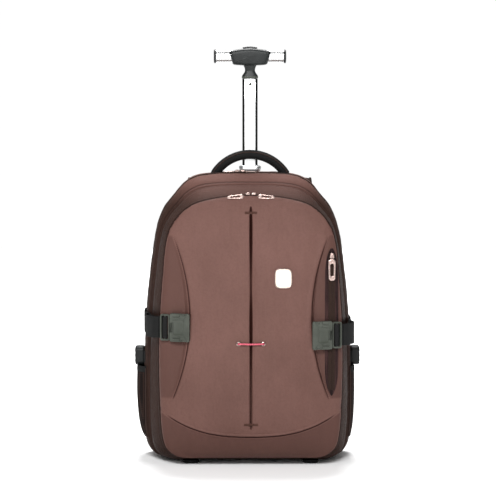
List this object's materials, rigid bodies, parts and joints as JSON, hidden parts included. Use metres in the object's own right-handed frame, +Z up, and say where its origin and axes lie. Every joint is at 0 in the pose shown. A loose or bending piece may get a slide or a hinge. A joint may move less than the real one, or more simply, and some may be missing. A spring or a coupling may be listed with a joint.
{
  "type": "wheeled backpack",
  "caption": "Cloth backpack with a sliding T-handle, wheels, shoulder straps, a crowned front with a centre pleat, bottle pockets, buckled compression straps and zipped compartments.",
  "frame": {"origin": "on the ground under the middle of the whole bag's box", "axes": "+Z up, -Y out of the bag's front, +X to the right as the front is seen"},
  "size_m": [0.396, 0.2414, 0.722],
  "materials": {
    "cloth": "satin woven nylon, brown",
    "zipper_tape": "dark brown coil zipper tape",
    "dark_mesh_cloth": "dark brown mesh cloth, matte",
    "black_webbing": "woven black webbing",
    "red_elastic": "braided red elastic",
    "black_plastic": "moulded black plastic, fine grain",
    "grey_plastic": "moulded grey plastic, satin",
    "badge_enamel": "smooth cream enamel, domed",
    "tyre": "black rubber, matte",
    "silver_tube": "satin silver anodised tube",
    "silver_trim": "polished silver zipper metal"
  },
  "bodies": {
    "bag": {"front_cover": "cloth", "front_tray": "cloth", "main_cover": "cloth", "main_tray": "cloth", "front_zipper": "zipper_tape", "main_zipper": "zipper_tape", "pocket_zipper": "zipper_tape", "grab_handle": "black_webbing", "back_pad": "dark_mesh_cloth", "badge": "badge_enamel", "pleat_elastic": "red_elastic", "pocket_slider": "silver_trim", "eyelet_left": "silver_trim", "front_slider_left": "silver_trim", "front_pull_left": "silver_trim", "main_slider_left": "silver_trim", "main_pull_left": "silver_trim", "eyelet_right": "silver_trim", "front_slider_right": "silver_trim", "front_pull_right": "silver_trim", "main_slider_right": "silver_trim", "main_pull_right": "silver_trim", "side_pocket_left": "dark_mesh_cloth", "buckle_body_left": "grey_plastic", "buckle_tongue_left": "grey_plastic", "compression_strap_left": "black_webbing", "side_adjuster_left": "black_plastic", "shoulder_strap_left": "dark_mesh_cloth", "ladder_lock_left": "black_plastic", "lower_webbing_left": "black_webbing", "side_pocket_right": "dark_mesh_cloth", "buckle_body_right": "grey_plastic", "buckle_tongue_right": "grey_plastic", "compression_strap_right": "black_webbing", "side_adjuster_right": "black_plastic", "shoulder_strap_right": "dark_mesh_cloth", "ladder_lock_right": "black_plastic", "lower_webbing_right": "black_webbing", "base": "black_plastic", "axle_left": "silver_trim", "foot_left": "black_plastic", "axle_right": "silver_trim", "foot_right": "black_plastic", "outer_tube": "silver_tube", "tube_collar": "black_plastic"},
    "handle": {"handle_tube": "silver_tube", "handle_neck": "black_plastic", "handle_bar": "silver_tube", "bar_cap_left": "black_plastic", "bar_cap_right": "black_plastic", "handle_grip": "black_plastic"},
    "button": {"release_button": "black_plastic"},
    "wheel_left": {"tyre_left": "tyre", "hub_left": "grey_plastic"},
    "wheel_right": {"tyre_right": "tyre", "hub_right": "grey_plastic"},
    "pocket_tab": {"pocket_pull": "silver_trim"}
  },
  "joints": [
    {"name": "handle_slide", "type": "slide", "parent": "bag", "child": "handle", "axis": [0, 0, 1], "range_m": [-0.15, 0.235]},
    {"name": "button_press", "type": "slide", "parent": "handle", "child": "button", "axis": [0, 0, -1], "range_m": [0, 0.002], "stiffness_N_per_m": 500, "springref_m": -0.0008},
    {"name": "wheel_left_spin", "type": "hinge", "parent": "bag", "child": "wheel_left", "pos_m": [-0.123, 0.07273, 0.03], "axis": [1, 0, 0], "continuous": true},
    {"name": "wheel_right_spin", "type": "hinge", "parent": "bag", "child": "wheel_right", "pos_m": [0.133, 0.07273, 0.03], "axis": [1, 0, 0], "continuous": true},
    {"name": "pocket_pull_swing", "type": "hinge", "parent": "bag", "child": "pocket_tab", "pos_m": [0.143, -0.102, 0.357], "axis": [-1, 0, 0], "range_deg": [0, 110]}
  ]
}
